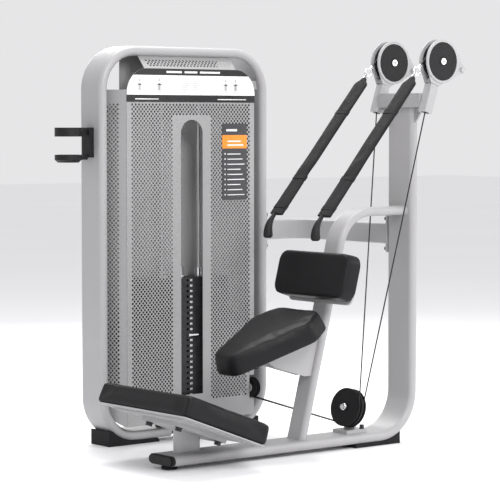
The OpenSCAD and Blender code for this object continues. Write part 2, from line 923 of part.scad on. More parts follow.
module right_strap() {
    strap(1);
}

module handle(s) {
    color(black) strap_frame(s, strap_start + strap_len) rotate_extrude() {
        polygon([[0, 0], [9, 0], [16.5, 60], [0, 60]]);
        intersection() {
            translate([0, 60]) circle(r = 16.5);
            translate([0, 40]) square([40, 50]);
        }
    }
}

module left_handle() {
    handle(-1);
}

module right_handle() {
    handle(1);
}

place() main_frame();
place() front_end_cap();
place() front_foot();
place() rear_foot();
place() seat_upright();
place() seat_bracket();
place() seat_base_plate();
place() seat_pad();
place() backrest_plate();
place() backrest_pad();
place() footrest_column();
place() footrest_tray();
place() footrest_frame();
place() footrest_pad();
place() frame_bolts();
place() tower_loop();
place() tower_feet();
place() tower_base_joint();
place() crossbeam();
place() front_panel();
place() left_side_panel();
place() right_side_panel();
place() top_panel();
place() rear_panel();
place() header_placard();
place() instruction_plate();
place() guide_rods();
place() stack_bumpers();
place() resting_plates();
place() bottle_holder();
place() lower_pulley_bracket();
place() tower_pulley_brackets();
place() pulley_axles();
place() top_crossbar();
place() pulley_stems();
place() drive_cables();
place() head_plate();
place() lifted_plates();
place() selector_rod();
place() guide_bushings();
place() stack_cable();
place() selector_pin();
place() left_pulley_housing();
place() right_pulley_housing();
place() left_cable_top();
place() right_cable_top();
place() left_top_pulley();
place() right_top_pulley();
place() left_lower_pulley();
place() right_lower_pulley();
place() tower_exit_pulley();
place() tower_corner_pulley();
place() tower_centre_pulley();
place() left_strap_clip();
place() right_strap_clip();
place() left_strap();
place() right_strap();
place() left_handle();
place() right_handle();
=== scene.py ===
"""The looks of the abdominal crunch machine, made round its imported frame. Metres, +Z up."""

import json
import math

import bmesh
import bpy
from mathutils import Matrix, Vector, noise
from mathutils.bvhtree import BVHTree
from mathutils.geometry import tessellate_polygon


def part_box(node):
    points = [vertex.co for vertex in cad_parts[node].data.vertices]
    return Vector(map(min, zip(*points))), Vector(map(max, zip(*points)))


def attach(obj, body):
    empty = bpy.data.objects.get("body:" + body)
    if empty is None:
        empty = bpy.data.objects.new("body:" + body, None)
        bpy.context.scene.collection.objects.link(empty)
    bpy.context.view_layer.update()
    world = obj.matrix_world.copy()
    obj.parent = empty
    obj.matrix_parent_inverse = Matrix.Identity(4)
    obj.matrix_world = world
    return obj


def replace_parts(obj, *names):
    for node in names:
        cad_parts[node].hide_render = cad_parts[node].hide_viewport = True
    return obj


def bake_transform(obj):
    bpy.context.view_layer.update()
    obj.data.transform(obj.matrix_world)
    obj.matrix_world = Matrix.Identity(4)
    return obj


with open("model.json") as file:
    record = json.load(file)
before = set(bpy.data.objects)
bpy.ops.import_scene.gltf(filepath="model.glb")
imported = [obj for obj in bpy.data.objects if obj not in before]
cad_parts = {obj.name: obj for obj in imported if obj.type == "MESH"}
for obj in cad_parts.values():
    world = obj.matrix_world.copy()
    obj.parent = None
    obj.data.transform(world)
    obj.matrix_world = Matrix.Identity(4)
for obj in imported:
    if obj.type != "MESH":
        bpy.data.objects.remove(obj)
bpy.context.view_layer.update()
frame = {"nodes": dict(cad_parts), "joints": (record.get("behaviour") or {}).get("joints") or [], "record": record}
scene = bpy.context.scene

MM = 0.001
JOINTS = {joint["name"]: joint for joint in frame["joints"]}
RATIOS = {c["joint"]: c["ratio"] for c in frame["record"]["behaviour"]["couplings"]}
SLOTS = {part["node"]: part["material_slot"] for part in frame["record"]["subparts"]}
SIDES = ("left", "right")


# Materials -------------------------------------------------------------------------------------

class Look:
    """A node material with its shader and short calls for the textures that the looks share."""

    def __init__(self, name, colour, roughness, metallic=0.0, **sockets):
        self.material = bpy.data.materials.new(name)
        self.material.use_nodes = True
        self.tree = self.material.node_tree
        self.shader = self.tree.nodes["Principled BSDF"]
        self.shader.inputs["Base Color"].default_value = (*colour, 1)
        self.shader.inputs["Roughness"].default_value = roughness
        self.shader.inputs["Metallic"].default_value = metallic
        for socket, value in sockets.items():
            self.shader.inputs[socket.replace("_", " ")].default_value = value
        self.colour = colour
        self.place = self.tree.nodes.new("ShaderNodeTexCoord").outputs["Object"]

    def node(self, kind, **links):
        made = self.tree.nodes.new(kind)
        for socket, value in links.items():
            target = made.inputs[socket.replace("_", " ")]
            if isinstance(value, bpy.types.NodeSocket):
                self.tree.links.new(value, target)
            else:
                target.default_value = value
        return made

    def stretched(self, scale):
        made = self.node("ShaderNodeMapping", Vector=self.place)
        made.inputs["Scale"].default_value = scale
        return made.outputs["Vector"]

    def noise(self, scale, detail=3.0, place=None):
        made = self.node("ShaderNodeTexNoise", Vector=place or self.place, Scale=scale, Detail=detail)
        return made.outputs["Fac"]

    def cells(self, scale):
        made = self.node("ShaderNodeTexVoronoi", Vector=self.place, Scale=scale)
        made.feature = "SMOOTH_F1"
        return made.outputs["Distance"]

    def wave(self, pitch, axis):
        made = self.node("ShaderNodeTexWave", Vector=self.place, Scale=math.tau / 20 / pitch)
        made.bands_direction = axis
        return made.outputs["Fac"]

    def math(self, operation, a, b):
        made = self.tree.nodes.new("ShaderNodeMath")
        made.operation = operation
        for socket, value in zip(made.inputs, (a, b)):
            if isinstance(value, bpy.types.NodeSocket):
                self.tree.links.new(value, socket)
            else:
                socket.default_value = value
        return made.outputs[0]

    def ramp(self, factor, stops, constant=False):
        made = self.node("ShaderNodeValToRGB", Fac=factor)
        if constant:
            made.color_ramp.interpolation = "CONSTANT"
        band = made.color_ramp.elements
        while len(band) < len(stops):
            band.new(1.0)
        for element, (position, colour) in zip(band, stops):
            element.position = position
            element.color = (*colour, 1)
        return made.outputs["Color"]

    def mottle(self, factor, spread):
        """Varies the colour by spread either side of its own value."""
        low = tuple(c * (1 - spread) for c in self.colour)
        high = tuple(min(1, c * (1 + spread)) for c in self.colour)
        self.tree.links.new(self.ramp(factor, [(0.3, low), (0.7, high)]), self.shader.inputs["Base Color"])
        return self

    def shine(self, factor, low, high):
        made = self.node("ShaderNodeMapRange", Value=factor)
        made.inputs["To Min"].default_value = low
        made.inputs["To Max"].default_value = high
        self.tree.links.new(made.outputs["Result"], self.shader.inputs["Roughness"])
        return self

    def bump(self, height, depth, strength=1.0):
        made = self.node("ShaderNodeBump", Height=height, Distance=depth, Strength=strength)
        self.tree.links.new(made.outputs["Normal"], self.shader.inputs["Normal"])
        return self


def powder_coat(name, colour):
    look = Look(name, colour, 0.4, Coat_Weight=0.12, Coat_Roughness=0.3)
    look.mottle(look.noise(3.0, 5.0), 0.035)
    look.shine(look.noise(45.0), 0.34, 0.46)
    return look.bump(look.noise(650.0, 2.0), 0.0005, 0.25)


def moulded(name, colour, roughness, grain, depth):
    look = Look(name, colour, roughness, Specular_IOR_Level=0.3)
    look.mottle(look.noise(12.0, 5.0), 0.18)
    look.shine(look.noise(60.0), roughness - 0.06, roughness + 0.08)
    return look.bump(look.cells(grain), depth, 0.5)


def vinyl(name, colour):
    look = Look(name, colour, 0.45, Specular_IOR_Level=0.22)
    look.mottle(look.noise(9.0, 6.0), 0.14)
    look.shine(look.noise(28.0), 0.4, 0.54)
    grain = look.math("ADD", look.cells(560.0), look.math("MULTIPLY", look.noise(1500.0), 0.35))
    return look.bump(grain, 0.0006, 0.45)


def black_plate():
    look = Look("black_steel", (0.016, 0.016, 0.018), 0.42)
    look.mottle(look.noise(30.0, 6.0), 0.3)
    look.shine(look.noise(6.0, 6.0, look.stretched((8.0, 8.0, 90.0))), 0.34, 0.52)
    return look.bump(look.noise(420.0), 0.0004, 0.3)


def chromed(name, colour, roughness):
    look = Look(name, colour, roughness, 1.0)
    look.mottle(look.noise(20.0, 5.0), 0.04)
    look.shine(look.noise(35.0, 6.0), roughness * 0.7, roughness * 1.5)
    return look.bump(look.noise(900.0), 0.0001, 0.2)


def woven(name, colour, thread):
    look = Look(name, colour, 0.8, Specular_IOR_Level=0.3, Sheen_Weight=0.05, Sheen_Roughness=0.4)
    look.mottle(look.noise(40.0, 6.0), 0.25)
    weave = look.math("MULTIPLY", look.wave(thread, "Y"), look.wave(thread, "Z"))
    return look.bump(look.math("ADD", weave, look.math("MULTIPLY", look.noise(700.0), 0.4)), 0.0006, 0.7)


def banded(name, node, stops, roughness):
    """Flat printed bands up a plate, at heights given as shares of the node's own height."""
    low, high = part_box(node)
    look = Look(name, (0.5, 0.5, 0.5), roughness, Coat_Weight=0.2, Coat_Roughness=0.15)
    height = look.node("ShaderNodeSeparateXYZ", Vector=look.place).outputs["Z"]
    share = look.math("DIVIDE", look.math("SUBTRACT", height, low.z), high.z - low.z)
    look.tree.links.new(look.ramp(share, stops, True), look.shader.inputs["Base Color"])
    return look.shine(look.noise(25.0), roughness - 0.05, roughness + 0.08)


SILVER = (0.365, 0.36, 0.365)
INK = (0.012, 0.012, 0.013)
PAPER = (0.86, 0.86, 0.86)
ORANGE = (0.86, 0.29, 0.03)
LOOKS = {
    "frame_paint": powder_coat("frame_paint", SILVER),
    "shroud_paint": powder_coat("shroud_paint", (0.325, 0.322, 0.325)),
    "black_rubber": moulded("black_rubber", (0.009, 0.009, 0.01), 0.75, 900.0, 0.0004),
    "black_plastic": moulded("black_plastic", (0.008, 0.008, 0.009), 0.5, 1400.0, 0.0002),
    "pulley_plastic": moulded("pulley_plastic", (0.006, 0.006, 0.007), 0.55, 1800.0, 0.0001),
    "pad_vinyl": vinyl("pad_vinyl", (0.007, 0.0062, 0.0072)),
    "black_steel": black_plate(),
    "chrome_steel": chromed("chrome_steel", (0.78, 0.78, 0.79), 0.14),
    "cable_jacket": moulded("cable_jacket", (0.015, 0.015, 0.016), 0.35, 2600.0, 0.0001),
    "strap_fabric": woven("strap_fabric", (0.007, 0.007, 0.008), 0.0016),
    "grip_rubber": moulded("grip_rubber", (0.008, 0.008, 0.009), 0.55, 1100.0, 0.0003),
    "placard_print": banded("placard_print", "header_placard",
                            [(0.0, INK), (0.21, PAPER), (0.8, INK)], 0.3),
    "label_print": banded("label_print", "instruction_plate",
                          [(0.0, (0.05, 0.05, 0.055)), (0.675, ORANGE), (0.85, (0.05, 0.05, 0.055))], 0.35),
}
PRINT_GREY = moulded("print_grey", (0.42, 0.42, 0.43), 0.5, 1200.0, 0.00005).material
PRINT_WHITE = moulded("print_white", (0.75, 0.75, 0.75), 0.5, 1200.0, 0.00005).material
STITCH = moulded("stitch_thread", (0.05, 0.05, 0.052), 0.7, 2000.0, 0.0002).material

for node, cad in frame["nodes"].items():
    if not cad.material_slots:
        cad.data.materials.append(None)
    for material_slot in cad.material_slots:
        material_slot.material = LOOKS[SLOTS[node]].material


# Mesh helpers ----------------------------------------------------------------------------------

def piece(name, verts, faces, slot, body, matrix=None, material=None, sharp=35.0):
    """A mesh piece that rides on a body and takes its finish from a material slot."""
    mesh = bpy.data.meshes.new(name)
    mesh.from_pydata([tuple(v) for v in verts], [], faces)
    bm = bmesh.new()
    bm.from_mesh(mesh)
    bmesh.ops.recalc_face_normals(bm, faces=bm.faces)
    bm.to_mesh(mesh)
    bm.free()
    mesh.materials.append(material or LOOKS[slot].material)
    mesh.shade_smooth()
    mesh.set_sharp_from_angle(angle=math.radians(sharp))
    obj = bpy.data.objects.new(name, mesh)
    scene.collection.objects.link(obj)
    if matrix is not None:
        obj.matrix_world = matrix
    if body:
        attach(obj, body)
    return obj


def loft(rings, closed=False):
    """Verts and faces of a skin over rings of equal length, with flat ends unless it closes on itself."""
    count = len(rings[0])
    verts = [v for ring in rings for v in ring]
    faces = []
    for r in range(len(rings) if closed else len(rings) - 1):
        a = r * count
        b = (r + 1) % len(rings) * count
        for k in range(count):
            n = (k + 1) % count
            faces.append((a + k, a + n, b + n, b + k))
    if not closed:
        faces += [tuple(range(count)), tuple(range(len(verts) - count, len(verts)))]
    return verts, faces


def tube(points, radius, closed=False, sides=10):
    """A tube along points, with a radius that is a number or a function of the point's index."""
    points = [Vector(p) for p in points]
    last = len(points) - 1
    rings = []
    side = None
    for i, point in enumerate(points):
        before = points[i - 1] if i or closed else point
        after = points[(i + 1) % len(points)] if i < last or closed else point
        ahead = (after - before).normalized()
        side = ahead.orthogonal() if side is None else side - ahead * side.dot(ahead)
        side.normalize()
        up = ahead.cross(side)
        size = radius(i) if callable(radius) else radius
        turns = [math.tau * k / sides for k in range(sides)]
        rings.append([point + (side * math.cos(t) + up * math.sin(t)) * size for t in turns])
    if closed:
        rings[0] = nearest_turn(rings[-1], rings[0])
        for i in range(1, len(rings)):
            rings[i] = nearest_turn(rings[i - 1], rings[i])
        first = nearest_turn(rings[-1], rings[0])
        shift = rings[0].index(first[0])
        if shift:
            return loft(rings + [first])
    return loft(rings, closed)


def nearest_turn(fixed, ring):
    """ring, started at the point nearest to the fixed ring's first point."""
    start = min(range(len(ring)), key=lambda k: (ring[k] - fixed[0]).length)
    return ring[start:] + ring[:start]


def lathe(profile, sides=64):
    """A solid turned about Z from (radius, height) points. The first and last lie on the axis."""
    verts, faces = [], []
    for radius, height in profile:
        if radius == 0:
            verts.append([Vector((0, 0, height))])
        else:
            turns = [math.tau * k / sides for k in range(sides)]
            verts.append([Vector((radius * math.cos(t), radius * math.sin(t), height)) for t in turns])
    starts = [sum(len(ring) for ring in verts[:i]) for i in range(len(verts))]
    for i in range(len(verts) - 1):
        a, b = starts[i], starts[i + 1]
        for k in range(sides):
            n = (k + 1) % sides
            if len(verts[i]) == 1:
                faces.append((a, b + k, b + n))
            elif len(verts[i + 1]) == 1:
                faces.append((a + k, a + n, b))
            else:
                faces.append((a + k, a + n, b + n, b + k))
    return [v for ring in verts for v in ring], faces


def joined(skins):
    """The verts and faces of several skins as one."""
    verts, faces = [], []
    for skin_verts, skin_faces in skins:
        faces += [tuple(len(verts) + i for i in face) for face in skin_faces]
        verts += skin_verts
    return verts, faces


def axes(x, y, z, origin):
    """The matrix of a frame with these unit axes."""
    return Matrix([(x[i], y[i], z[i], origin[i]) for i in range(3)] + [(0, 0, 0, 1)])


# Perforated shroud -----------------------------------------------------------------------------

HOLE_R = 4.6 * MM
STEP_U = 7.95 * MM
STEP_V = 8.65 * MM
SHEET_T = 2.0 * MM
ROW_LOW = 147.3 * MM
ROWS = 132
NOTCH_LOW, NOTCH_HIGH = 136 * MM, 229 * MM
NOTCH_ROWS = 10


def region_loops(squares):
    """The closed outlines of a set of lattice squares, as lists of lattice points."""
    follow = {}
    for i, j in squares:
        for a, b, other in (((i, j), (i + 1, j), (i, j - 1)), ((i + 1, j), (i + 1, j + 1), (i + 1, j)),
                            ((i + 1, j + 1), (i, j + 1), (i, j + 1)), ((i, j + 1), (i, j), (i - 1, j))):
            if other not in squares:
                follow[a] = b
    loops = []
    while follow:
        start = min(follow)
        loop, at = [start], follow.pop(start)
        while at != start:
            loop.append(at)
            at = follow.pop(at)
        loops.append(loop)
    return loops


def perforated(name, node, outline, openings, squares, origin_u, origin_v, place):
    """A sheet with round holes on a staggered lattice. place maps (u, v, depth) to the row frame."""
    verts, index, faces = [], {}, []

    def vert(u, v):
        key = (round(u / MM, 3), round(v / MM, 3))
        if key not in index:
            index[key] = len(verts)
            verts.append((u, v))
        return index[key]

    def spot(i, j):
        return origin_u + i * STEP_U, origin_v + j * STEP_V

    def is_hole(i, j):
        return all((i + a, j + b) in squares for a in (-1, 0) for b in (-1, 0))

    half = HOLE_R * math.sqrt(0.5)
    for i, j in sorted(squares):
        corners = [(i, j, 1, 1), (i + 1, j, -1, 1), (i + 1, j + 1, -1, -1), (i, j + 1, 1, -1)]
        for ci, cj, du, dv in corners:
            if (ci + cj) % 2:
                continue
            across = vert(*spot(ci + du, cj))
            along = vert(*spot(ci, cj + dv))
            u, v = spot(ci, cj)
            if is_hole(ci, cj):
                faces.append((across, along, vert(u, v + dv * HOLE_R), vert(u + du * half, v + dv * half),
                              vert(u + du * HOLE_R, v)))
            else:
                faces.append((vert(u, v), across, along))
    loops = [outline, *openings] + [[spot(i, j) for i, j in loop] for loop in region_loops(squares)]
    flat = [point for loop in loops for point in loop]
    for triangle in tessellate_polygon([[Vector((*point, 0)) for point in loop] for loop in loops]):
        faces.append(tuple(vert(*flat[k]) for k in triangle))
    bm = bmesh.new()
    made = [bm.verts.new(place(u, v, 0.0)) for u, v in verts]
    for face in faces:
        if len(set(face)) == len(face):
            bm.faces.new([made[k] for k in face])
    grown = bmesh.ops.extrude_face_region(bm, geom=bm.faces[:])
    depth = place(0, 0, SHEET_T) - place(0, 0, 0)
    bmesh.ops.translate(bm, vec=depth, verts=[g for g in grown["geom"] if isinstance(g, bmesh.types.BMVert)])
    bmesh.ops.delete(bm, geom=[v for v in bm.verts if not v.link_faces], context="VERTS")
    bm.verts.index_update()
    solid = [v.co.copy() for v in bm.verts]
    skins = [tuple(v.index for v in f.verts) for f in bm.faces]
    bm.free()
    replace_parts(piece(name, solid, skins, "shroud_paint", "root"), node)


def arc(centre_u, centre_v, radius, start, stop, count):
    """Points along an arc between two angles in degrees."""
    turns = [math.radians(start + (stop - start) * k / count) for k in range(count + 1)]
    return [(centre_u + radius * math.cos(t), centre_v + radius * math.sin(t)) for t in turns]


def block(i0, j0, i1, j1):
    """The lattice squares of a rectangle."""
    return {(i, j) for i in range(i0, i1) for j in range(j0, j1)}


def front_panel():
    """The front sheet, with round top corners, the window for the pin and the notch for the exit pulley."""
    low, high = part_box("front_panel")
    middle = (low.x + high.x) / 2
    half = (high.x - low.x) / 2
    corner = 95 * MM
    notch_u = 281 * MM
    slot_half, slot_low, slot_top = 52 * MM, 175 * MM, 1224 * MM
    edge, slot_edge, slot_rows = 36, 11, 126
    outline = [(-half, low.z), (half, low.z), (half, NOTCH_LOW), (notch_u, NOTCH_LOW), (notch_u, NOTCH_HIGH),
               (half, NOTCH_HIGH)]
    outline += arc(half - corner, high.z - corner, corner, 0, 90, 16)
    outline += arc(corner - half, high.z - corner, corner, 90, 180, 16)
    opening = [(-slot_half, slot_low), (slot_half, slot_low)]
    opening += arc(0, slot_top - slot_half, slot_half, 0, 180, 28)
    squares = block(-edge, 0, edge, ROWS) - block(-slot_edge, 0, slot_edge, slot_rows)
    squares -= block(edge - 2, 0, edge, NOTCH_ROWS)

    def place(u, v, depth):
        return Vector((middle + u, low.y + depth, v))

    perforated("front_panel_perforated", "front_panel", outline, [opening], squares, 0.0, ROW_LOW, place)


def side_panel(side):
    """A sheet that flares from the front panel's fold to the tower's leg, cut to the leg's bend below."""
    frame_middle = (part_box("front_panel")[0].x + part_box("front_panel")[1].x) / 2
    node = side + "_side_panel"
    low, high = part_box(node)
    out = -1 if side == "left" else 1
    fold = Vector((high.x if side == "left" else low.x, low.y, 0))
    leg = Vector((low.x if side == "left" else high.x, high.y, 0))
    along = (leg - fold).normalized()
    inward = Vector((-out * along.y, out * along.x, 0))
    width = (leg - fold).length
    margin, columns = 28 * MM, 9
    notch_u = 40 * MM
    window_near, window_far, window_low, window_high = 57 * MM, 96 * MM, 157 * MM, 199 * MM
    run = abs(leg.x - fold.x)
    bend_r, bend_level, bend_x = 128.6 * MM, 181 * MM, 235 * MM
    reach = abs(fold.x - frame_middle) - bend_x
    steps = 16
    outline = []
    for k in range(steps + 1):
        across = width * k / steps
        drop = math.sqrt(max(0.0, bend_r ** 2 - (reach + run * k / steps) ** 2))
        outline.append((across, max(low.z, bend_level - drop)))
    outline += [(width, high.z), (0, high.z)]
    squares = block(0, 0, columns, ROWS) - block(columns - 1, 0, columns, 2)
    openings = []
    if side == "right":
        outline += [(0, NOTCH_HIGH), (notch_u, NOTCH_HIGH), (notch_u, NOTCH_LOW), (0, NOTCH_LOW)]
        openings = [[(window_near, window_low), (window_far, window_low), (window_far, window_high),
                     (window_near, window_high)]]
        squares -= block(0, 0, columns, NOTCH_ROWS)

    def place(u, v, depth):
        return fold + along * u + inward * depth + Vector((0, 0, v))

    perforated(node + "_perforated", node, outline, openings, squares, margin, ROW_LOW, place)


def top_panel():
    """The sloping sheet over the header."""
    low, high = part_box("top_panel")
    middle = (low.x + high.x) / 2
    half = (high.x - low.x) / 2
    slope = Vector((0, high.y - low.y, high.z - low.z))
    length = slope.length
    slope.normalize()
    inward = Vector((0, slope.z, -slope.y))
    columns, rows, margin = 25, 5, 11 * MM
    outline = [(-half, 0), (half, 0), (half, length), (-half, length)]
    squares = block(-columns, 0, columns, rows)

    def place(u, v, depth):
        return Vector((middle + u, low.y, low.z)) + slope * v + inward * depth

    perforated("top_panel_perforated", "top_panel", outline, [], squares, 0.0, margin, place)


front_panel()
for side in SIDES:
    side_panel(side)
top_panel()


# Pads ------------------------------------------------------------------------------------------

SEAM_POINTS = 220
SEAM_R = 1.1 * MM
INFLATE_CAP = 5 * MM
INFLATE_PRESSURE = 4.0
INFLATE_FRAMES = 20


def evaluated(obj):
    """obj's mesh with its modifiers applied, as a new mesh."""
    return bpy.data.meshes.new_from_object(obj.evaluated_get(bpy.context.evaluated_depsgraph_get()))


def apply_modifiers(obj):
    """Fixes obj's modifiers into its mesh."""
    obj.data = evaluated(obj)
    obj.modifiers.clear()


def inflate(obj, pinned):
    """Blows the skin up with cloth pressure. Pinned points hold still, and none moves past the cap."""
    start = [v.co.copy() for v in obj.data.vertices]
    group = obj.vertex_groups.new(name="pinned")
    group.add(pinned, 1.0, "REPLACE")
    cloth = obj.modifiers.new("cloth", "CLOTH")
    cloth.settings.use_pressure = True
    cloth.settings.uniform_pressure_force = INFLATE_PRESSURE
    cloth.settings.effector_weights.gravity = 0
    cloth.settings.tension_stiffness = cloth.settings.compression_stiffness = 60
    cloth.settings.shear_stiffness = 30
    cloth.settings.bending_stiffness = 40
    cloth.settings.quality = 8
    cloth.settings.vertex_group_mass = group.name
    cloth.point_cache.frame_start = 1
    cloth.point_cache.frame_end = INFLATE_FRAMES
    for number in range(1, INFLATE_FRAMES + 1):
        scene.frame_set(number)
    moved = evaluated(obj)
    ends = [v.co.copy() for v in moved.vertices]
    obj.modifiers.remove(cloth)
    obj.vertex_groups.clear()
    bpy.data.meshes.remove(moved)
    for vert, a, b in zip(obj.data.vertices, start, ends):
        step = b - a
        vert.co = a + step.normalized() * min(step.length, INFLATE_CAP)


def seam(name, tree, turn, centre, half, flat, axis, level):
    """A piped seam round a pad, laid on its skin at a level along its axis."""
    reach, sink = 0.6, 0.2 * MM
    around = []
    for k in range(SEAM_POINTS):
        t = math.tau * k / SEAM_POINTS
        outward = Vector((0, 0, 0))
        outward[flat[0]] = math.cos(t) * half[flat[0]]
        outward[flat[1]] = math.sin(t) * half[flat[1]]
        outward.normalize()
        start = centre + outward * reach
        start[axis] = level
        hit = tree.ray_cast(start, -outward)[0]
        if hit is not None:
            around.append(hit - outward * sink)
    piece(name, *tube(around, SEAM_R, True, 8), "pad_vinyl", "root", turn)


def pad(node, tilt, up, inset, taper, crown, voxel, smoothing, seams):
    """An upholstered pad from its plain solid. up is the local axis out of the board, and its sign."""
    axis, sign = up
    flat = [k for k in range(3) if k != axis]
    turn = Matrix.Rotation(math.radians(tilt), 4, "Y")
    source = frame["nodes"][node]
    points = [turn.transposed() @ v.co for v in source.data.vertices]
    low = Vector([min(p[k] for p in points) for k in range(3)])
    high = Vector([max(p[k] for p in points) for k in range(3)])
    centre = (low + high) / 2
    half = (high - low) / 2
    base = low[axis] if sign > 0 else high[axis]
    depth = 2 * half[axis]
    mesh = source.data.copy()
    mesh.name = node + "_cover"
    mesh.materials.clear()
    mesh.materials.append(LOOKS["pad_vinyl"].material)
    for vert, point in zip(mesh.vertices, points):
        for k in flat:
            point[k] = centre[k] + (point[k] - centre[k]) * (1 - inset / half[k])
        share = (point[axis] - base) * sign / depth
        point[axis] = base + sign * share * (depth - inset)
        vert.co = point
    obj = bpy.data.objects.new(node + "_cover", mesh)
    scene.collection.objects.link(obj)
    remesh = obj.modifiers.new("remesh", "REMESH")
    remesh.mode = "VOXEL"
    remesh.voxel_size = voxel
    smooth = obj.modifiers.new("smooth", "SMOOTH")
    smooth.iterations = smoothing
    apply_modifiers(obj)
    for vert in obj.data.vertices:
        share = max(0.0, min(1.0, (vert.co[axis] - base) * sign / depth))
        offset = [(vert.co[k] - centre[k]) / half[k] for k in flat]
        for k, part in zip(flat, offset):
            vert.co[k] -= part * taper * share ** 2
        dome = max(0.0, 1 - offset[0] ** 2) * max(0.0, 1 - offset[1] ** 2)
        vert.co[axis] += sign * crown * share ** 2 * dome
    inflate(obj, [v.index for v in obj.data.vertices if (v.co[axis] - base) * sign < 2 * voxel])
    relax = obj.modifiers.new("relax", "SMOOTH")
    relax.iterations = 14
    finer = obj.modifiers.new("finer", "SUBSURF")
    finer.levels = finer.render_levels = 1
    apply_modifiers(obj)
    obj.data.shade_smooth()
    obj.matrix_world = turn
    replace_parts(obj, node)
    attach(obj, "root")
    tree = BVHTree.FromObject(obj, bpy.context.evaluated_depsgraph_get())
    for number, share in enumerate(seams, 1):
        seam(f"{node}_seam_{number}", tree, turn, centre, half, flat, axis, base + sign * share * depth)


UP_Z = (2, 1)
FRONT_X = (0, -1)
pad("seat_pad", -23, UP_Z, -4 * MM, 11 * MM, 6 * MM, 5 * MM, 10, (0.12, 0.76))
pad("backrest_pad", 14.6, FRONT_X, 1 * MM, 3 * MM, 4 * MM, 5 * MM, 6, (0.12, 0.86))
pad("footrest_pad", 20.7, UP_Z, 1 * MM, 0.5 * MM, 2 * MM, 6 * MM, 3, (0.1, 0.91))


# Straps, grips and cables ----------------------------------------------------------------------

CABLE_R = 2.5 * MM
RIDE_R = 1 / RATIOS["left_top_pulley_spin"]
LEAD = math.radians(139.2)
TAIL = math.radians(-77.1)
STUB = 74 * MM
SLEEVE_START = 138 * MM
SLEEVE_LEN = 664 * MM
SLEEVE_W = 72 * MM
SLEEVE_T = 15 * MM
BANDS = (170 * MM, 490 * MM, 630 * MM)
SIDE_POINTS = 44


def hub(side):
    """The centre of a top pulley."""
    return Vector(JOINTS[side + "_top_pulley_spin"]["pos_m"])


def on_rim(side, angle):
    """The point on a top pulley's groove where the cable's middle rides."""
    return hub(side) + RIDE_R * Vector((math.cos(angle), 0, math.sin(angle)))


def pull_direction(side):
    return Vector(JOINTS[side + "_strap_pull"]["axis"]).normalized()


def strap_matrix(side):
    """The frame on a strap's line: z along the pull, y across the strap."""
    z = pull_direction(side)
    y = Vector((0, 1, 0))
    return axes(y.cross(z), y, z, on_rim(side, LEAD))


def bell(value, centre, spread):
    """A smooth bump of height 1."""
    return math.exp(-((value - centre) / spread) ** 2)


def strap_section(t, thick, width):
    """The point at angle t on a strap's padded cross-section."""
    c, s = math.cos(t), math.sin(t)
    return thick * math.copysign(abs(c) ** 0.75, c), width * math.copysign(abs(s) ** 0.6, s)


def sleeve(side):
    """The padded sleeve: a flat tube with folds, sewn edges and three sewn bands."""
    mirror = -1 if side == "left" else 1
    lengths = 120
    rings = []
    for r in range(lengths + 1):
        share = r / lengths
        d = share * SLEEVE_LEN
        neck = min(1.0, d / (30 * MM))
        width = SLEEVE_W * (0.36 + 0.64 * neck * neck * (3 - 2 * neck)) / 2
        width *= 1 - 0.05 * math.sin(math.pi * share) ** 2
        thick = SLEEVE_T / 2 * (0.8 + 0.2 * neck)
        fold = bell(d, 0.46, 0.035)
        crease = bell(d, 0.40, 0.05)
        pinch = sum(bell(d, band, 0.006) for band in BANDS)
        ring = []
        for k in range(SIDE_POINTS):
            t = math.tau * k / SIDE_POINTS
            c = math.cos(t)
            x, y = strap_section(t, thick, width)
            edge = abs(y) / (SLEEVE_W / 2)
            seed = Vector((c * 0.5, y * 16, d * 7 + mirror * 3.1))
            wave = noise.noise(seed) * 3.2 * MM + noise.noise(seed * 3.1) * 1.3 * MM
            puff = (1 - edge ** 4) * (wave + 5 * MM * fold * (0.6 + 0.4 * math.sin(y * 60)))
            diagonal = math.sin((y * mirror + d * 0.9 - 0.36) * 55) * crease * 3.0 * MM
            x += math.copysign(1, c) * (puff + diagonal * (1 - edge)) * (0.4 if c < 0 else 1.0)
            x *= 1 - 0.3 * pinch
            y += 4.5 * MM * fold * mirror * (1 if y * mirror < 0 else 0.3)
            ring.append(Vector((x, y, SLEEVE_START + d)))
        rings.append(ring)
    rings.insert(0, [Vector((v.x * 0.75, v.y * 0.8, v.z - 3 * MM)) for v in rings[0]])
    rings.append([Vector((v.x * 0.7, v.y * 0.93, v.z + 1 * MM)) for v in rings[-1]])
    cover = piece(side + "_strap_sleeve", *loft(rings), "strap_fabric", side + "_strap", strap_matrix(side),
                  sharp=50.0)
    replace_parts(cover, side + "_strap")


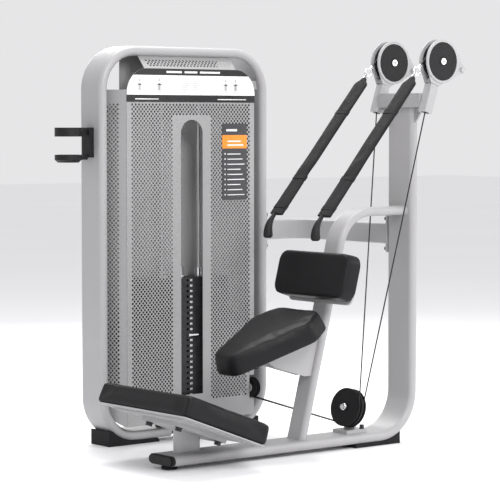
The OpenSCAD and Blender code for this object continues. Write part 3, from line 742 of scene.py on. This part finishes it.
def sleeve_details(side):
    """Sewn tape across the sleeve, stitch rows beside it, and the webbing loop through the ring."""
    matrix = strap_matrix(side)
    for number, band in enumerate(BANDS, 1):
        rings = []
        for dz, grow in ((-9, 0.2), (-8, 1.0), (8, 1.0), (9, 0.2)):
            thick = SLEEVE_T / 2 + (grow + 0.4) * MM
            width = SLEEVE_W * 0.485 + (grow + 0.6) * MM
            level = SLEEVE_START + band + dz * MM
            turns = [math.tau * k / SIDE_POINTS for k in range(SIDE_POINTS)]
            rings.append([Vector((*strap_section(t, thick, width), level)) for t in turns])
        piece(f"{side}_strap_tape_{number}", *loft(rings), "strap_fabric", side + "_strap", matrix)
    stitches = []
    face, reach = SLEEVE_T / 2 + 1.5 * MM, 1.5 * MM
    for band in BANDS:
        for dz in (-6, 6):
            level = SLEEVE_START + band + dz * MM
            for k in range(13):
                y = (-30 + 5 * k) * MM
                for x in (-face, face):
                    stitches.append(tube([(x, y - reach, level), (x, y + reach, level)], 0.5 * MM, False, 6))
    piece(side + "_strap_stitches", *joined(stitches), "strap_fabric", side + "_strap", matrix,
          material=STITCH)
    centre, inner, outer, half = 133 * MM, 3.6 * MM, 5.4 * MM, 5 * MM
    rings = []
    for k in range(24):
        t = math.tau * k / 24
        x, z = math.cos(t), math.sin(t)
        rings.append([Vector((x * r, w, centre + z * r)) for r, w in
                      ((inner, -half), (inner, half), (outer, half), (outer, -half))])
    piece(side + "_strap_loop", *loft(rings, True), "strap_fabric", side + "_strap", matrix)


def grip(side):
    """The teardrop grip, which leaves the sleeve along the pull and then hangs down."""
    matrix = strap_matrix(side)
    along = pull_direction(side)
    start = matrix @ Vector((3 * MM, 6 * MM, SLEEVE_START + SLEEVE_LEN - 12 * MM))
    down = Vector((0, 0, -1))
    steps, length = 26, 112 * MM
    points, sizes = [start], []
    for k in range(steps):
        share = (k + 1) / steps
        bend = max(0.0, min(1.0, (share - 0.3) / 0.55))
        points.append(points[-1] + (along * (1 - bend) + down * bend).normalized() * (length / steps))
    for k in range(steps + 1):
        share = k / steps
        swell = share * share * (3 - 2 * share)
        cap = math.sqrt(max(0.0, 1 - max(0.0, (share - 0.9) / 0.1) ** 2 * 0.6))
        sizes.append((6.5 + 11.5 * swell) * MM * cap)
    verts, faces = tube(points, lambda i: sizes[i], False, 28)
    obj = piece(side + "_grip", verts, faces, "grip_rubber", side + "_strap", sharp=45.0)
    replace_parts(obj, side + "_handle")
    collar = [points[1] + along * (k * 2 * MM) for k in range(4)]
    piece(side + "_grip_collar", *tube(collar, lambda i: (9.0 if 0 < i < 3 else 7.6) * MM, False, 28),
          "grip_rubber", side + "_strap")


def top_cable(side):
    """The cable over the top pulley, which rides on the swivel, and the stretch that the strap pulls out."""
    turn = JOINTS[side + "_swivel_turn"]
    stem = Vector(turn["axis"]).normalized()
    top = Vector(turn["pos_m"])
    path = [on_rim(side, LEAD + (TAIL - LEAD) * k / 72) for k in range(73)]
    path += [top + stem * 18 * MM, top - stem * 23.8 * MM]
    held = piece(side + "_cable_over_pulley", *tube(path, CABLE_R, False, 12), "cable_jacket",
                 side + "_swivel")
    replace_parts(held, side + "_cable_top")
    begin = on_rim(side, LEAD)
    end = begin + pull_direction(side) * STUB
    run = [begin.lerp(end, k / 24) for k in range(25)]
    free = piece(side + "_cable_to_clip", *tube(run, CABLE_R, False, 12), "cable_jacket", None)
    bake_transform(free)


def stack_cables():
    """The two cables from the centre pulley to the selector rod."""
    low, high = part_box("stack_cable")
    middle = (low + high) / 2
    reach = Vector(((high.x - low.x) / 2 - CABLE_R, (high.y - low.y) / 2 - CABLE_R, 0))
    cables = []
    for sign in (-1, 1):
        top = Vector((middle.x, middle.y, high.z)) + sign * reach
        base = Vector((middle.x, middle.y, low.z)) + sign * reach
        cables.append(tube([base.lerp(top, k / 40) for k in range(41)], CABLE_R, False, 12))
    obj = piece("stack_cable_pair", *joined(cables), "cable_jacket", None)
    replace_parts(obj, "stack_cable")
    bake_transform(obj)


for side in SIDES:
    sleeve(side)
    sleeve_details(side)
    grip(side)
    top_cable(side)
stack_cables()


# Pulley covers ---------------------------------------------------------------------------------

COVER_FACE = 19.2 * MM
LOWER_CAP_OUT = 37.5 * MM


def in_mm(*points):
    """Radius and height points given in millimetres."""
    return [(radius * MM, height * MM) for radius, height in points]


def pulley_covers(side):
    """The black discs inside the lips of the housing's two plates, with a bright cap over each bolt."""
    disc = in_mm((0, 0), (71, 0), (71.6, 0.6), (71.6, 1.8), (70.6, 2.6), (66, 2.6), (65, 2.0), (20, 2.0),
                 (18, 3.4), (0, 3.4))
    bolt = in_mm((0, 2), (11.5, 2), (12.6, 3), (12.6, 6.6), (11.4, 7.8), (6.5, 7.8), (6, 6.2), (0, 6.2))
    for name, out in (("near", -1), ("far", 1)):
        z = Vector((0, out, 0))
        x = Vector((1, 0, 0))
        matrix = axes(x, z.cross(x), z, hub(side) + z * COVER_FACE)
        swivel = side + "_swivel"
        piece(f"{side}_cover_{name}", *lathe(disc, 96), "pulley_plastic", swivel, matrix, sharp=30.0)
        piece(f"{side}_bolt_cap_{name}", *lathe(bolt, 40), "chrome_steel", swivel, matrix, sharp=30.0)


def lower_pulley_bolt():
    """The bright flanged bolt head on the near side of the lower pulleys' axle."""
    joint = JOINTS["left_lower_pulley_spin"]
    z = Vector(joint["axis"]).normalized()
    x = z.orthogonal().normalized()
    near = Vector(joint["pos_m"]) + z * LOWER_CAP_OUT
    head = in_mm((0, 0), (13, 0), (13.5, 1), (12.5, 2.4), (9.5, 3), (9, 9), (7.5, 10), (0, 10))
    matrix = axes(x, z.cross(x), z, near)
    piece("lower_axle_cap", *lathe(head, 40), "chrome_steel", "root", matrix, sharp=30.0)


for side in SIDES:
    pulley_covers(side)
lower_pulley_bolt()


# Printed marks ---------------------------------------------------------------------------------

PRINT_DEPTH = 0.3 * MM


def bars(name, node, boxes, material, slot):
    """Thin raised rectangles on a plate's front face, at (x0, z0, x1, z1) shares of its box."""
    low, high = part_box(node)
    size = high - low
    skins = []
    for x0, z0, x1, z1 in boxes:
        a = Vector((low.x + x0 * size.x, low.y, low.z + z0 * size.z))
        b = Vector((low.x + x1 * size.x, low.y, low.z + z1 * size.z))
        trim = min(b.x - a.x, b.z - a.z) * 0.2
        rings = []
        for depth, cut in ((0.0, 0.0), (PRINT_DEPTH, trim * 0.3)):
            x_a, x_b, z_a, z_b = a.x + cut, b.x - cut, a.z + cut, b.z - cut
            ring = [(x_a + trim, z_a), (x_b - trim, z_a), (x_b, z_a + trim), (x_b, z_b - trim),
                    (x_b - trim, z_b), (x_a + trim, z_b), (x_a, z_b - trim), (x_a, z_a + trim)]
            rings.append([Vector((x, a.y - depth, z)) for x, z in ring])
        skins.append(loft(rings))
    piece(name, *joined(skins), slot, "root", material=material, sharp=20.0)


def header_marks():
    """Plain rules and simple shapes where the real plate has its printed guide."""
    rules = []
    for column in (0.42, 0.5):
        for row in range(6):
            rules.append((column, 0.3 + 0.065 * row, column + 0.06 - 0.01 * (row % 3), 0.32 + 0.065 * row))
    for left in (0.07, 0.22, 0.74, 0.82):
        rules.append((left, 0.3, left + 0.05, 0.315))
        rules.append((left + 0.015, 0.34, left + 0.035, 0.58))
        rules.append((left + 0.005, 0.5, left + 0.045, 0.54))
        rules.append((left + 0.018, 0.61, left + 0.032, 0.69))
    bars("header_rules", "header_placard", rules, PRINT_GREY, "placard_print")
    lines = [(0.3, 0.87, 0.42, 0.93), (0.44, 0.87, 0.54, 0.93), (0.56, 0.87, 0.72, 0.93),
             (0.06, 0.07, 0.24, 0.1), (0.7, 0.07, 0.93, 0.1)]
    bars("header_lines", "header_placard", lines, PRINT_WHITE, "placard_print")


def label_marks():
    """Plain rules where the real label has its text."""
    rows = []
    for k in range(9):
        level = 0.06 + 0.067 * k
        rows.append((0.08, level, 0.13, level + 0.018))
        rows.append((0.2, level, 0.9 - 0.08 * (k % 3), level + 0.012))
    rows += [(0.2, 0.71, 0.85, 0.73), (0.2, 0.76, 0.75, 0.78), (0.15, 0.9, 0.6, 0.93)]
    bars("label_lines", "instruction_plate", rows, PRINT_WHITE, "label_print")


def plate_marks():
    """Two pale marks on the front of each plate, beside its pin hole."""
    low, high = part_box("head_plate")
    pitch = high.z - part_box("lifted_plates")[1].z
    thick = high.z - low.z
    middle = (low.x + high.x) / 2
    lifted = round((high.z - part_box("lifted_plates")[0].z - thick) / pitch) + 1
    total = round((high.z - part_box("resting_plates")[0].z - thick) / pitch) + 1
    tall = 4 * MM
    for name, body, numbers in (("lifted_marks", "stack", range(lifted)),
                                ("resting_marks", "root", range(lifted, total))):
        skins = []
        for number in numbers:
            level = high.z - number * pitch - thick / 2
            for x0, x1 in ((12 * MM, 16 * MM), (18 * MM, 22 * MM)):
                rings = []
                for depth, cut in ((0.0, 0.0), (0.4 * MM, 0.4 * MM)):
                    ring = [(x0 + cut, -tall + cut), (x1 - cut, -tall + cut), (x1 - cut, tall - cut),
                            (x0 + cut, tall - cut)]
                    rings.append([Vector((middle + x, low.y - depth, level + z)) for x, z in ring])
                skins.append(loft(rings))
        piece(name, *joined(skins), "black_steel", body, material=PRINT_WHITE)


header_marks()
label_marks()
plate_marks()


# Welds -----------------------------------------------------------------------------------------

def stadium(width, thickness, count=96):
    """Points round a flat-oval outline, width along the first axis."""
    straight = (width - thickness) / 2
    points = []
    for k in range(count):
        t = math.tau * k / count
        c, s = math.cos(t), math.sin(t)
        points.append((c * thickness / 2 + math.copysign(straight, c), s * thickness / 2))
    return points


def weld(name, origin, across, up, width, thickness):
    """A rippled bead round the end of a flat-oval tube."""
    around = [origin + across * a + up * b for a, b in stadium(width, thickness)]
    piece(name, *tube(around, lambda i: (2.6 + 0.5 * math.sin(i * 1.9)) * MM, True, 8), "frame_paint", "root")


def welds():
    """The beads at both ends of the seat's upright and at the foot of the footrest's column."""
    x, y, z = Vector((1, 0, 0)), Vector((0, 1, 0)), Vector((0, 0, 1))
    low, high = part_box("seat_upright")
    middle = (low.y + high.y) / 2
    weld("weld_upright_base", Vector((low.x + 16.5 * MM, middle, low.z)), y, x, 90 * MM, 33 * MM)
    weld("weld_upright_arm", Vector((high.x, middle, high.z - 16 * MM)), y, z, 90 * MM, 32 * MM)
    low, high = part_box("footrest_column")
    weld("weld_column", Vector(((low.x + high.x) / 2, (low.y + high.y) / 2, low.z)), x, y, 109 * MM, 36 * MM)


welds()


# Camera, lights and floor ----------------------------------------------------------------------

def camera():
    """A long lens from the left front, 3.38 degrees down."""
    data = bpy.data.cameras.new("camera")
    data.sensor_width = 36
    data.lens = 154.2
    obj = bpy.data.objects.new("camera", data)
    scene.collection.objects.link(obj)
    obj.location = (-5.0366, -6.1905, 1.21)
    obj.rotation_euler = (math.radians(90 - 3.38), 0, math.radians(-38.85))
    scene.camera = obj


def area_light(name, place, target, size, power):
    """A rectangular lamp at place that faces target."""
    data = bpy.data.lights.new(name, "AREA")
    data.shape = "RECTANGLE"
    data.size, data.size_y = size
    data.energy = power
    obj = bpy.data.objects.new(name, data)
    scene.collection.objects.link(obj)
    obj.location = place
    obj.rotation_euler = (Vector(target) - Vector(place)).to_track_quat("-Z", "Y").to_euler()


def studio():
    """Four soft lamps and a pale surround."""
    area_light("key", (-1.2, -4.4, 3.4), (0, 0, 0.7), (1.8, 1.8), 150)
    area_light("fill", (3.8, -2.6, 2.2), (0, 0, 0.8), (2.0, 2.0), 50)
    area_light("top", (0.4, 0.9, 4.4), (0, 0, 0), (2.4, 2.4), 150)
    area_light("rear", (1.5, 4.0, 2.6), (0, 0, 0.9), (2.0, 1.6), 60)
    world = bpy.data.worlds.new("studio")
    world.use_nodes = True
    background = world.node_tree.nodes["Background"]
    background.inputs["Color"].default_value = (0.99, 0.985, 1.0, 1)
    background.inputs["Strength"].default_value = 0.8
    scene.world = world
    scene.view_settings.view_transform = "Standard"


def floor():
    """A wide pale floor, which is staging and not part of the machine."""
    mesh = bpy.data.meshes.new("floor")
    half = 30.0
    corners = [(-half, -half, 0), (half, -half, 0), (half, half, 0), (-half, half, 0)]
    mesh.from_pydata(corners, [], [(0, 1, 2, 3)])
    look = Look("floor", (0.92, 0.92, 0.93), 0.7)
    look.mottle(look.noise(0.6, 4.0), 0.01)
    mesh.materials.append(look.material)
    obj = bpy.data.objects.new("floor", mesh)
    scene.collection.objects.link(obj)


camera()
studio()
floor()
